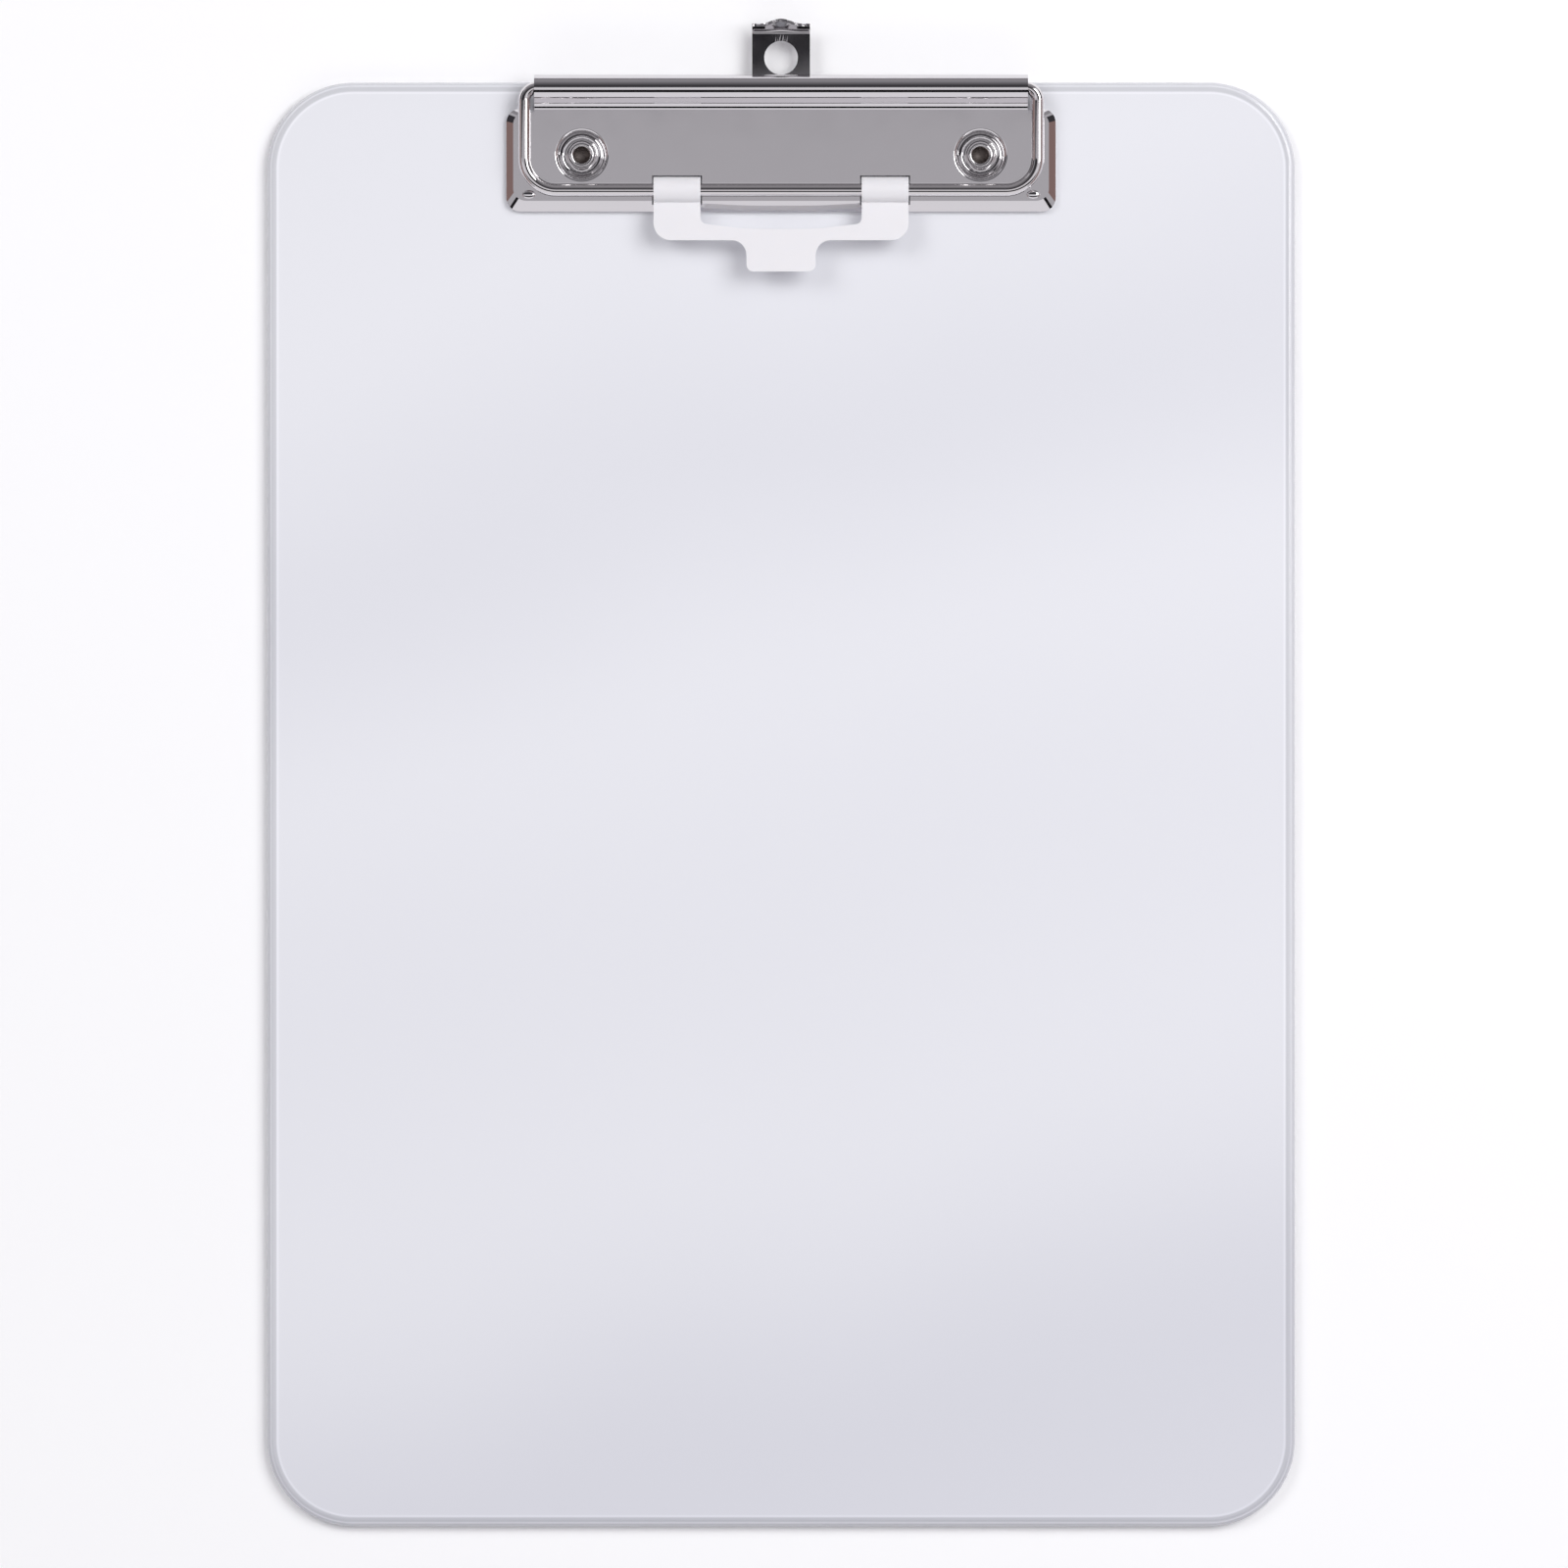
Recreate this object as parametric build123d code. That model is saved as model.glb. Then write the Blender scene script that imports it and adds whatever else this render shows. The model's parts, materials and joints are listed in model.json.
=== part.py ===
from build123d import *
import math
import os

# Clipboard lying on its back. Origin: centre of the board's back face.
# +X across the board, +Y towards the clip, +Z out of the writing face. Millimetres.

# ---- board
board_width = 226.0
board_length = 317.5
board_thickness = 3.0
board_corner = 19.0
board_front_round = 1.6
board_back_round = 0.7

# ---- pressed steel of the clip plate, and the wire of the bail
sheet = 0.8
wire_diameter = 2.7
wire_rest_gap = 0.05

# ---- hinge barrel, rolled from the plate's rear edge
barrel_half_width = 54.2
barrel_bore = 4.2
barrel_sweep = 283.0
barrel_neck_angle = 68.0
barrel_neck_radius = 2.0
hinge_inset = 1.35
running_clearance = 0.08

# ---- bail
bail_reach = 22.45
bail_side_gap = 0.85
bail_rear_bend = 2.8
bail_front_bend = 7.0
paddle_half_thickness = 0.8
paddle_width = 11.0

# ---- clip plate
deck_front_margin = 1.0
deck_side_margin = 1.1
front_bevel = 2.3
side_bevel = 1.5
rear_bevel = 0.8
plate_rim = 1.2
plate_corner = 3.0
ear_setback = 4.5
plateau_rise = 0.5
plateau_gap = 0.3
pip_radius = 1.2
pip_height = 0.45
pip_from_arm = 1.0
pip_from_rod = 0.95

# ---- rivets and the dimples they sit in
rivet_spacing = 87.6
rivet_setback = 14.7
rivet_shank_radius = 2.4
rivet_bore_radius = 1.8
rivet_flange_radius = 3.7
rivet_flange_thickness = 0.55
rivet_crown_radius = 2.85
rivet_head_radius = 4.2
rivet_head_thickness = 0.7
rivet_head_inset = 0.15
rivet_hole_gap = 0.1
rivet_recess_gap = 0.4
rivet_flange_round = 0.22
rivet_floor = 0.55
dimple_radius = 5.8
dimple_wall_run = 1.6

# ---- blade springs under the plate
leaf_thickness = 0.5
leaf_side_gap = 0.5
leaf_front = 5.8
leaf_bend_radius = 2.0
leaf_slope = 45.0
leaf_gap = 0.05
leaf_flat_run = 2.0

# ---- hanging tab
hanger_sheet = 0.7
hanger_width = 12.7
hanger_tail_width = 20.0
hanger_tail_length = 3.9
hanger_clearance_below = 0.1
hanger_clearance_above = 0.15
hanger_side_clearance = 0.35
hanger_stop_gap = 0.1
hanger_stop_setback = 6.4
hanger_hole_radius = 3.7
hanger_hole_offset = 6.7
hanger_lip_offset = 12.0
hanger_lip_bend = 1.15
hanger_lip_angle = 72.0
hanger_lip_run = 2.2
hanger_flute_radius = 3.4
hanger_flute_offset = 11.8
hanger_flute_trim = 0.01

# ---- lift tab
tab_wall = 1.42
tab_half_width = 28.0
tab_leg_width = 10.3
tab_thickness = 1.3
tab_slope = 9.0
tab_bridge_setback = 8.0
tab_bridge_width = 3.1
tab_finger_half_width = 7.6
tab_reach = 18.0
tab_mouth = 2.1
tab_outer_corner = 3.8
tab_finger_root = 3.3
tab_finger_corner = 1.6
tab_leg_corner = 0.2
tab_root_inset = 0.25
tab_window_gap = 0.35

# ---- how far cutting shapes run past what they cut
cut_margin = 1.0

# ---- heights, stacked from the board up
board_top = board_thickness
wire_radius = wire_diameter / 2
bore_radius = barrel_bore / 2
barrel_radius = bore_radius + sheet
hanger_bottom = board_top + hanger_clearance_below
hanger_top = hanger_bottom + hanger_sheet
axis_z = hanger_top + hanger_clearance_above + barrel_radius
deck_top = axis_z - wire_radius - wire_rest_gap
plateau_top = deck_top + plateau_rise
dimple_floor = board_top + leaf_thickness + sheet

# ---- places along the board
hinge_y = board_length / 2 - hinge_inset
rod_y = hinge_y - bail_reach
ear_rear_y = hinge_y - ear_setback
deck_front_y = rod_y - wire_radius - deck_front_margin
plate_front_y = deck_front_y - front_bevel
plateau_front_y = rod_y + wire_radius + plateau_gap
rivet_y = hinge_y - rivet_setback
rivet_x = rivet_spacing / 2
stop_y = hinge_y - hanger_stop_setback

# ---- places across the board
arm_x = barrel_half_width + bail_side_gap + wire_radius
plate_half = arm_x + wire_radius + deck_side_margin + side_bevel
tab_bore_radius = wire_radius + running_clearance
tab_wrap_radius = tab_bore_radius + tab_wall


def strip_section(start, heading, runs, thickness):
    """Side view of a bent strip. A run is (length, 0), or (middle-line radius, turn in degrees)."""
    left = []
    right = []
    here = Vector(*start)
    ahead = Vector(1, 0).rotate(Axis.Z, heading)
    for size, turn in runs:
        across = ahead.rotate(Axis.Z, 90)
        for side, edges in ((0.5, left), (-0.5, right)):
            edge_start = here + across * (side * thickness)
            if turn == 0:
                edges.append(Edge.make_line(edge_start, edge_start + ahead * size))
            else:
                arm = edge_start - here - across * math.copysign(size, turn)
                centre = edge_start - arm
                middle = centre + arm.rotate(Axis.Z, turn / 2)
                edge_end = centre + arm.rotate(Axis.Z, turn)
                edges.append(Edge.make_three_point_arc(edge_start, middle, edge_end))
        if turn == 0:
            here = here + ahead * size
        else:
            centre = here + across * math.copysign(size, turn)
            here = centre + (here - centre).rotate(Axis.Z, turn)
            ahead = ahead.rotate(Axis.Z, turn)
    caps = [Edge.make_line(left[0] @ 0, right[0] @ 0), Edge.make_line(left[-1] @ 1, right[-1] @ 1)]
    return make_face(left + right + caps)


def across_board(section, low_x, high_x):
    """A side view, drawn as (Y, Z), made solid from low_x to high_x."""
    return extrude(Plane.YZ.offset(low_x) * section, amount=high_x - low_x)


def box_between(low, high):
    centre = [(a + b) / 2 for a, b in zip(low, high)]
    return Pos(*centre) * Box(*[b - a for a, b in zip(low, high)])


def box_each_side(inner_x, outer_x, low_y, high_y, low_z, high_z):
    """The same box on both sides of the middle, from inner_x out to outer_x."""
    right = box_between((inner_x, low_y, low_z), (outer_x, high_y, high_z))
    return right + mirror(right, about=Plane.YZ)


def cylinder_along_x(radius, low_x, high_x, y, z):
    return Pos((low_x + high_x) / 2, y, z) * Rot(0, 90, 0) * Cylinder(radius, high_x - low_x)


def hole_down(radius, x, y, low_z, high_z):
    return Pos(x, y, (low_z + high_z) / 2) * Cylinder(radius, high_z - low_z)


def make_board():
    slab = extrude(RectangleRounded(board_width, board_length, board_corner), amount=board_thickness)
    slab = fillet(slab.faces().sort_by(Axis.Z)[-1].edges(), board_front_round)
    slab = fillet(slab.faces().sort_by(Axis.Z)[0].edges(), board_back_round)
    recess = rivet_head_inset + rivet_head_thickness
    for x in (-rivet_x, rivet_x):
        shank_hole = rivet_shank_radius + rivet_hole_gap
        slab -= hole_down(shank_hole, x, rivet_y, -cut_margin, board_top + cut_margin)
        slab -= hole_down(rivet_head_radius + rivet_recess_gap, x, rivet_y, -cut_margin, recess)
    return slab


def plate_outline(inset, front_inset, side_inset, rear_inset, z):
    """One level of the plate's pan, drawn in from its foot by the named insets."""
    low_y = plate_front_y + front_inset + inset
    high_y = ear_rear_y - rear_inset - inset
    half = plate_half - side_inset - inset
    corner = plate_corner - max(side_inset, inset) / 2
    return Pos(0, (low_y + high_y) / 2, z) * RectangleRounded(2 * half, high_y - low_y, corner)


def plate_pan(inset, drop):
    """The pan as a solid block: a short upright rim, then the bevels up to the deck."""
    low_z = board_top - (cut_margin if inset else 0)
    foot = plate_outline(inset, 0, 0, 0, low_z)
    shoulder_z = board_top + plate_rim - drop / 2
    rim = extrude(foot, amount=shoulder_z - low_z)
    shoulder = plate_outline(inset, 0, 0, 0, shoulder_z)
    deck = plate_outline(inset, front_bevel, side_bevel, rear_bevel, deck_top - drop)
    return rim + loft([shoulder, deck], ruled=True)


def barrel_section():
    """Side view of the plate's rear: plateau, neck bend and the rolled hinge barrel."""
    middle_z = plateau_top - sheet / 2
    neck_radius = barrel_neck_radius + sheet / 2
    roll_radius = bore_radius + sheet / 2
    sine = math.sin(math.radians(barrel_neck_angle))
    cosine = math.cos(math.radians(barrel_neck_angle))
    rise = axis_z + roll_radius * cosine - middle_z - neck_radius * (1 - cosine)
    neck_run = rise / sine
    bend_y = hinge_y - roll_radius * sine - neck_run * cosine - neck_radius * sine
    start_y = ear_rear_y - sheet
    runs = [
        (bend_y - start_y, 0),
        (neck_radius, barrel_neck_angle),
        (neck_run, 0),
        (roll_radius, -barrel_sweep),
    ]
    return strip_section((start_y, middle_z), 0, runs, sheet)


def make_dimple(x, grow, low_z, high_z):
    """Cone of a rivet's dimple; grow makes the outside of its wall."""
    height = high_z - low_z
    low_radius = dimple_radius - dimple_wall_run + grow
    high_radius = dimple_radius + grow
    return Pos(x, rivet_y, (low_z + high_z) / 2) * Cone(low_radius, high_radius, height)


def plateau_block(inset, low_z, rear_y, high_z):
    """The raised middle of the plate; its front corners follow the inside of the bail's bends."""
    half = barrel_half_width - inset
    block = box_between((-half, plateau_front_y + inset, low_z), (half, rear_y, high_z))
    corner = bail_front_bend - (arm_x - barrel_half_width) - inset
    return fillet(block.edges().filter_by(Axis.Z).sort_by(Axis.Y)[:2], corner)


def make_base_plate():
    plateau = plateau_block(0, deck_top - sheet, ear_rear_y, plateau_top)
    hollow = plateau_block(sheet, board_top - cut_margin, ear_rear_y + cut_margin, plateau_top - sheet)
    plate = plate_pan(0, 0) + plateau - plate_pan(sheet, sheet) - hollow
    plate += across_board(barrel_section(), -barrel_half_width, barrel_half_width)
    for x in (-rivet_x, rivet_x):
        plate += make_dimple(x, sheet, dimple_floor - sheet, plateau_top - sheet / 2)
        plate -= make_dimple(x, 0, dimple_floor, plateau_top)
        plate -= hole_down(rivet_shank_radius + rivet_hole_gap, x, rivet_y, board_top, plateau_top)
    pip_sphere = (pip_radius ** 2 + pip_height ** 2) / (2 * pip_height)
    for side in (-1, 1):
        pip = Pos(side * (arm_x - pip_from_arm), rod_y - pip_from_rod, deck_top + pip_height - pip_sphere)
        plate += pip * Sphere(pip_sphere) & box_between(
            (-plate_half, plate_front_y, deck_top - sheet / 2),
            (plate_half, rod_y + wire_diameter, plateau_top + pip_height),
        )
    plate -= box_each_side(
        tab_half_width - tab_leg_width - tab_window_gap,
        tab_half_width + tab_window_gap,
        rod_y - tab_wrap_radius - tab_window_gap,
        rod_y + tab_wrap_radius + tab_window_gap,
        board_top,
        plateau_top + cut_margin,
    )
    plate += box_each_side(
        hanger_width / 2 + hanger_side_clearance,
        hanger_tail_width / 2,
        stop_y,
        stop_y + sheet,
        hanger_bottom,
        plateau_top - sheet / 2,
    )
    return plate


def make_clamp_wire():
    inner_x = rivet_x + paddle_width / 2
    corners = [
        (inner_x, hinge_y),
        (arm_x, hinge_y),
        (arm_x, rod_y),
        (-arm_x, rod_y),
        (-arm_x, hinge_y),
        (-inner_x, hinge_y),
    ]
    bends = [bail_rear_bend, bail_front_bend, bail_front_bend, bail_rear_bend]
    path = Pos(0, 0, axis_z) * FilletPolyline(*corners, radius=bends)
    wire = sweep(Plane(path @ 0, z_dir=path % 0) * Circle(wire_radius), path=path)
    for side in (-1, 1):
        low_x = side * rivet_x - paddle_width / 2
        high_x = side * rivet_x + paddle_width / 2
        flats = box_between(
            (low_x, hinge_y - barrel_bore, axis_z - paddle_half_thickness),
            (high_x, hinge_y + barrel_bore, axis_z + paddle_half_thickness),
        )
        wire += cylinder_along_x(bore_radius - running_clearance, low_x, high_x, hinge_y, axis_z) & flats
    return wire


def make_leaf_spring(side):
    low_z = board_top + leaf_thickness / 2
    high_z = axis_z - paddle_half_thickness - leaf_gap - leaf_thickness / 2
    sine = math.sin(math.radians(leaf_slope))
    cosine = math.cos(math.radians(leaf_slope))
    climb = (high_z - low_z - 2 * leaf_bend_radius * (1 - cosine)) / sine
    bend_y = hinge_y - leaf_flat_run / 2 - climb * cosine - 2 * leaf_bend_radius * sine
    start_y = rivet_y - leaf_front
    runs = [
        (bend_y - start_y, 0),
        (leaf_bend_radius, leaf_slope),
        (climb, 0),
        (leaf_bend_radius, -leaf_slope),
        (leaf_flat_run, 0),
    ]
    section = strip_section((start_y, low_z), 0, runs, leaf_thickness)
    centre_x = side * rivet_x
    half_width = paddle_width / 2 - leaf_side_gap
    leaf = across_board(section, centre_x - half_width, centre_x + half_width)
    return leaf - hole_down(rivet_shank_radius + rivet_hole_gap, centre_x, rivet_y, 0, axis_z)


def rivet_band(outer, low_z, high_z, inner=0.0):
    """Rectangle of a rivet's half section, drawn as (radius, Z)."""
    return Pos((inner + outer) / 2, (low_z + high_z) / 2) * Rectangle(outer - inner, high_z - low_z)


def make_rivet(side):
    head_top = rivet_head_inset + rivet_head_thickness
    flange_top = dimple_floor + rivet_flange_thickness
    crown_radius = (rivet_crown_radius - rivet_bore_radius) / 2
    flange = rivet_band(rivet_flange_radius, dimple_floor, flange_top)
    flange = fillet(flange.vertices().sort_by(Axis.X)[-2:], rivet_flange_round)
    section = rivet_band(rivet_head_radius, rivet_head_inset, head_top)
    section += rivet_band(rivet_shank_radius, rivet_head_inset, flange_top)
    section += flange
    section += Pos(rivet_bore_radius + crown_radius, flange_top) * Circle(crown_radius)
    section -= rivet_band(rivet_bore_radius, head_top + rivet_floor, flange_top + crown_radius)
    return Pos(side * rivet_x, rivet_y, 0) * revolve(Plane.XZ * section, axis=Axis.Z)


def make_hanging_tab():
    middle_z = hanger_bottom + hanger_sheet / 2
    tail_y = stop_y - hanger_stop_gap
    bend_y = hinge_y + hanger_lip_offset
    runs = [
        (bend_y - tail_y + hanger_tail_length, 0),
        (hanger_lip_bend, hanger_lip_angle),
        (hanger_lip_run, 0),
    ]
    section = strip_section((tail_y - hanger_tail_length, middle_z), 0, runs, hanger_sheet)
    tab = across_board(section, -hanger_width / 2, hanger_width / 2)
    lip_top = tab.bounding_box().max.Z
    tab += box_between(
        (-hanger_tail_width / 2, tail_y - hanger_tail_length, hanger_bottom),
        (hanger_tail_width / 2, tail_y, hanger_top),
    )
    flute_y = hinge_y + hanger_flute_offset
    tab += hole_down(hanger_flute_radius, 0, flute_y, hanger_bottom, lip_top)
    inner = hanger_flute_radius - hanger_sheet
    tab -= hole_down(inner, 0, flute_y, hanger_top, lip_top + cut_margin)
    in_front = box_between(
        (-hanger_width / 2, tail_y, hanger_top),
        (hanger_width / 2, flute_y + inner / 2, lip_top + cut_margin),
    )
    outer = hanger_flute_radius + hanger_flute_trim
    tab -= in_front & hole_down(outer, 0, flute_y, hanger_top, lip_top + cut_margin)
    return tab - hole_down(hanger_hole_radius, 0, hinge_y + hanger_hole_offset, 0, axis_z)


def make_lift_tab():
    start_y = rod_y - tab_bore_radius - tab_root_inset
    run = (start_y - rod_y + tab_reach + tab_thickness) / math.cos(math.radians(tab_slope))
    sheet_side = strip_section((start_y, axis_z), 180 - tab_slope, [(run, 0)], tab_thickness)
    bridge_rear = rod_y - tab_bridge_setback
    bridge_front = bridge_rear - tab_bridge_width
    leg_inner = tab_half_width - tab_leg_width
    tip_y = rod_y - tab_reach
    half = FilletPolyline(
        (0, bridge_rear),
        (leg_inner, bridge_rear),
        (leg_inner, rod_y),
        (tab_half_width, rod_y),
        (tab_half_width, bridge_front),
        (tab_finger_half_width, bridge_front),
        (tab_finger_half_width, tip_y),
        (0, tip_y),
        radius=[
            tab_finger_corner,
            tab_leg_corner,
            tab_leg_corner,
            tab_outer_corner,
            tab_finger_root,
            tab_finger_corner,
        ],
    )
    centre_line = Line((0, tip_y), (0, bridge_rear))
    outline = make_face(half.edges() + [centre_line])
    outline += mirror(outline, about=Plane.YZ)
    tab = across_board(sheet_side, -tab_half_width, tab_half_width)
    tab &= extrude(outline, amount=2 * axis_z + tab_reach)
    wrap = Circle(tab_wrap_radius) - Pos(0, -tab_wrap_radius) * Rectangle(tab_mouth, 2 * tab_wrap_radius)
    for low_x in (-tab_half_width, leg_inner):
        tab += across_board(Pos(rod_y, axis_z) * wrap, low_x, low_x + tab_leg_width)
    bore_end = tab_half_width + cut_margin
    return tab - cylinder_along_x(tab_bore_radius, -bore_end, bore_end, rod_y, axis_z)


pieces = {
    "board": make_board(),
    "base_plate": make_base_plate(),
    "clamp_wire": make_clamp_wire(),
    "leaf_spring_left": make_leaf_spring(-1),
    "leaf_spring_right": make_leaf_spring(1),
    "rivet_left": make_rivet(-1),
    "rivet_right": make_rivet(1),
    "hanging_tab": make_hanging_tab(),
    "lift_tab": make_lift_tab(),
}

os.makedirs("parts", exist_ok=True)
for name, piece in pieces.items():
    export_step(piece, "parts/" + name + ".step")
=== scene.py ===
import json
import math

import bmesh
import bpy
from bpy.props import FloatProperty, FloatVectorProperty, PointerProperty
from mathutils import Matrix, Vector


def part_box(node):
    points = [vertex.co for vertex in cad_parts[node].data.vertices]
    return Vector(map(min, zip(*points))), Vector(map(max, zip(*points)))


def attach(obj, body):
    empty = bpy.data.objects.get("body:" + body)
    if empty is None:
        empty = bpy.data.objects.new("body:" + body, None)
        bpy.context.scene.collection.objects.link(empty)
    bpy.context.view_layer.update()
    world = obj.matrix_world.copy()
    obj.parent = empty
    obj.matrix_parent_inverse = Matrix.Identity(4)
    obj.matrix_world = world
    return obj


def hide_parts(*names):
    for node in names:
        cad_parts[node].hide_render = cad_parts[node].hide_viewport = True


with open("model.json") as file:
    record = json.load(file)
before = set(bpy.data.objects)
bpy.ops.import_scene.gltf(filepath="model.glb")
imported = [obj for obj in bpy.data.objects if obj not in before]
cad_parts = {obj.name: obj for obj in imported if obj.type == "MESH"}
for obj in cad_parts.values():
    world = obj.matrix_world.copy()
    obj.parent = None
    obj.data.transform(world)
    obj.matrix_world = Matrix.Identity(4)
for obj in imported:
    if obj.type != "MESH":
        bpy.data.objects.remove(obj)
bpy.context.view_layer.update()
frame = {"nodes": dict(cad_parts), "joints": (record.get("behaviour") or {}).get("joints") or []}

bl_info = {
    "name": "Clipboard",
    "version": (1, 0, 0),
    "blender": (4, 5, 0),
    "location": "View3D > Sidebar > Clipboard",
    "description": "Builds a clipboard with a riveted wire-bail clip around its packed frame",
    "category": "Add Mesh",
}

# The object lies on its back: +X across the board, +Y towards the clip, +Z out of the writing face.
MM = 0.001
TOUCH = 1e-6
ACROSS = Vector((1, 0, 0))
UP = Vector((0, 0, 1))

# ---- clearances between pieces, and the softening of their edges
WIRE_GAP = 0.05 * MM
WINDOW_GAP = 0.35 * MM
STOP_GAP = 0.1 * MM
STOP_SIDE_GAP = 0.35 * MM
FLOOR_GAP = 0.02 * MM
SOFTENED_ANGLE = 24
FLAT_FACE_WEIGHT = 80

# ---- places that the frame gives
BOARD_LOW, BOARD_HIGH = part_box("board")
PLATE_LOW, PLATE_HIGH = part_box("base_plate")
WIRE_LOW, WIRE_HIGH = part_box("clamp_wire")
HANGER_LOW, HANGER_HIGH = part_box("hanging_tab")
TAB_LOW, TAB_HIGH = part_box("lift_tab")
RIVET_LOW, RIVET_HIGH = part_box("rivet_right")
JOINTS = {joint["name"]: joint for joint in frame["joints"]}
HINGE = Vector(JOINTS["bail_hinge"]["pos_m"])
ROD = Vector(JOINTS["lift_tab_pivot"]["pos_m"])
RIVET = (RIVET_LOW + RIVET_HIGH) / 2
WIRE_RADIUS = (WIRE_HIGH.z - WIRE_LOW.z) / 2
ARM_X = WIRE_HIGH.x - WIRE_RADIUS
DECK_TOP = HINGE.z - WIRE_RADIUS - WIRE_GAP
SIDES = (("left", -1), ("right", 1))


def linear(hex_code):
    """An sRGB hex colour as linear RGBA."""
    channels = [int(hex_code[place:place + 2], 16) / 255 for place in (0, 2, 4)]
    return (*[c / 12.92 if c <= 0.04045 else ((c + 0.055) / 1.055) ** 2.4 for c in channels], 1.0)


def length(name, description, millimetres):
    return FloatProperty(
        name=name, description=description, default=millimetres * MM, min=0, precision=5, unit="LENGTH"
    )


def colour(name, description, hex_code):
    return FloatVectorProperty(
        name=name, description=description, default=linear(hex_code), size=4, min=0, max=1, subtype="COLOR"
    )


# ---- settings

class BoardSettings(bpy.types.PropertyGroup):
    corner: length("Corner", "Radius of the board's corners", 19.0)
    front_round: length("Front edge", "Radius of the writing face's edge", 1.6)
    back_round: length("Back edge", "Radius of the back face's edge", 0.7)
    shank_hole: length("Rivet hole", "Radius of a rivet's hole", 2.5)
    head_recess: length("Head recess", "Radius of the recess round a rivet's head", 4.6)
    recess_depth: length("Recess depth", "Depth of the recess round a rivet's head", 0.85)
    edge_line: length("Edge line", "How far in from the edge its bright band ends", 2.3)
    body: colour("Body", "Colour of the sheet where it is clearest", "E9EAEF")
    # The shade colour paints the sheet's slanted bands: painted reflections of the soft lights, and
    # painted shade that deepens towards the end away from the clip.
    shade: colour("Shade", "Colour of the denser flow bands", "D4D5DD")
    # The edge colour paints grey shade lines round the rounded rim; the bright band that edge_line ends is
    # a painted highlight.
    edge: colour("Edge", "Colour of the sheet's dense rim", "D0D1D6")


class PlateSettings(bpy.types.PropertyGroup):
    sheet: length("Sheet", "Thickness of the pressed steel", 0.8)
    rim: length("Rim", "Height of the upright rim", 1.2)
    corner: length("Corner", "Radius of the pan's corners", 3.0)
    front_bevel: length("Front bevel", "Width of the pan's front slope", 2.3)
    side_bevel: length("Side bevel", "Width of the pan's side slopes", 1.5)
    rear_bevel: length("Rear bevel", "Width of the slope behind the ears", 0.8)
    ear_setback: length("Ears", "From the hinge line forward to the ears' rear edge", 4.5)
    barrel_gap: length("Barrel gap", "Between the barrel's end and the wire", 0.85)
    barrel_bore: length("Barrel bore", "Radius inside the hinge barrel", 2.1)
    plateau_rise: length("Plateau", "Height of the raised middle over the deck", 0.5)
    plateau_gap: length("Plateau gap", "Between the plateau's front and the wire", 0.3)
    dimple: length("Dimple", "Radius of a rivet's dimple at the top", 5.8)
    dimple_floor: length("Dimple floor", "Radius of a rivet's dimple at its floor", 4.2)
    rivet_hole: length("Rivet hole", "Radius of a rivet's hole", 2.5)
    pip: length("Pip", "Radius of the stop pips beside the bail's corners", 1.2)
    pip_rise: length("Pip height", "Height of the stop pips", 0.45)
    edge_round: length("Pressed edge", "Radius left on the pressed edges", 0.22)
    plating: colour("Plating", "Colour of the bright nickel plate", "E0DEE0")


class BailSettings(bpy.types.PropertyGroup):
    rear_bend: length("Rear bend", "Radius of the bends beside the barrel", 2.8)
    front_bend: length("Front bend", "Radius of the bends at the bail's front corners", 7.0)
    paddle_length: length("Paddle", "Length of each flattened end", 11.0)
    paddle_radius: length("Paddle radius", "Half the width of a flattened end", 2.02)
    paddle_half: length("Paddle thickness", "Half the thickness of a flattened end", 0.8)
    plating: colour("Plating", "Colour of the bright nickel plate", "E2DFE0")


class RivetSettings(bpy.types.PropertyGroup):
    shank: length("Shank", "Radius of the shank", 2.4)
    bore: length("Bore", "Radius of the hollow", 1.8)
    flange: length("Flange", "Radius of the rolled flange", 3.7)
    flange_thickness: length("Flange thickness", "Thickness of the rolled flange", 0.55)
    crown: length("Crown", "Outer radius of the curled crown", 2.85)
    head_thickness: length("Head", "Thickness of the head on the back", 0.7)
    plating: colour("Plating", "Colour of the bright nickel plate", "DEDCDD")
    bore_tone: colour("Bore tone", "Colour of the unplated bore", "8E8683")


class SpringSettings(bpy.types.PropertyGroup):
    steel: colour("Steel", "Colour of the tempered strip", "8B8A90")
    temper: colour("Temper", "Straw tint left by tempering", "8F8068")


class HangerSettings(bpy.types.PropertyGroup):
    sheet: length("Sheet", "Thickness of the strip", 0.7)
    half_width: length("Half width", "Half the width of the part that shows", 6.35)
    tail_length: length("Tail", "Length of the wide tail under the clip", 3.9)
    hole: length("Hole", "Radius of the hanging hole", 3.7)
    hole_offset: length("Hole place", "From the hinge line to the hole's middle", 6.7)
    lip_offset: length("Lip place", "From the hinge line to the start of the lip's bend", 12.0)
    lip_bend: length("Lip bend", "Middle radius of the lip's bend", 1.15)
    lip_run: length("Lip", "Straight length of the lip", 2.2)
    flute_half: length("Flute", "Half the width of the lip's thumb flute", 4.6)
    flute_depth: length("Flute depth", "How far the flute bulges to the rear", 1.09)
    plating: colour("Plating", "Colour of the thin nickel plate", "CFCDCF")


class LiftTabSettings(bpy.types.PropertyGroup):
    thickness: length("Thickness", "Thickness of the moulding", 1.3)
    wrap: length("Wrap", "Outer radius of the clips round the wire", 2.85)
    bore: length("Bore", "Inner radius of the clips round the wire", 1.43)
    mouth: length("Mouth", "Width of the slot under each clip", 2.1)
    leg: length("Leg", "Width of each leg", 10.3)
    bridge_rear: length("Bridge rear", "From the wire forward to the bridge", 7.4)
    bridge_front: length("Bridge front", "From the wire forward to the bridge's front", 11.1)
    finger_half: length("Finger", "Half the width of the finger tab", 7.6)
    edge_round: length("Moulded edge", "Radius of the moulded edges", 0.55)
    plastic: colour("Plastic", "Colour of the moulding", "E7E6E9")


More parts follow.
